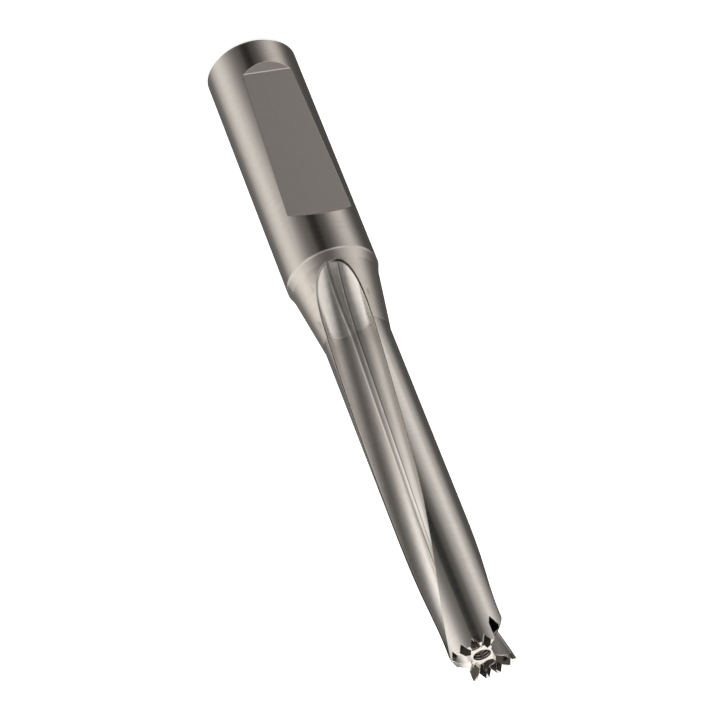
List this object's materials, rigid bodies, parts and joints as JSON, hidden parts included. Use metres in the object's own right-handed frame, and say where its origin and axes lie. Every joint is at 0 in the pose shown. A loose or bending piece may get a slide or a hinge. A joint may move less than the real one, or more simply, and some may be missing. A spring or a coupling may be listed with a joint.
{
  "type": "replaceable head drill body",
  "caption": "Slender steel drill body with twisted flutes, a serrated seat for a replaceable head, a conical shoulder and a round shank with a sloping clamping flat.",
  "frame": {"origin": "centre of the shank's rear end face", "axes": "+Z along the tool axis from the shank to the head seat, -Y out of the clamping flat, +X to the right when the flat is seen from the front"},
  "size_m": [0.016, 0.016, 0.1256],
  "materials": {
    "body_steel": "satin ground tool steel"
  },
  "bodies": {
    "root": {"drill_body": "body_steel"}
  },
  "joints": []
}
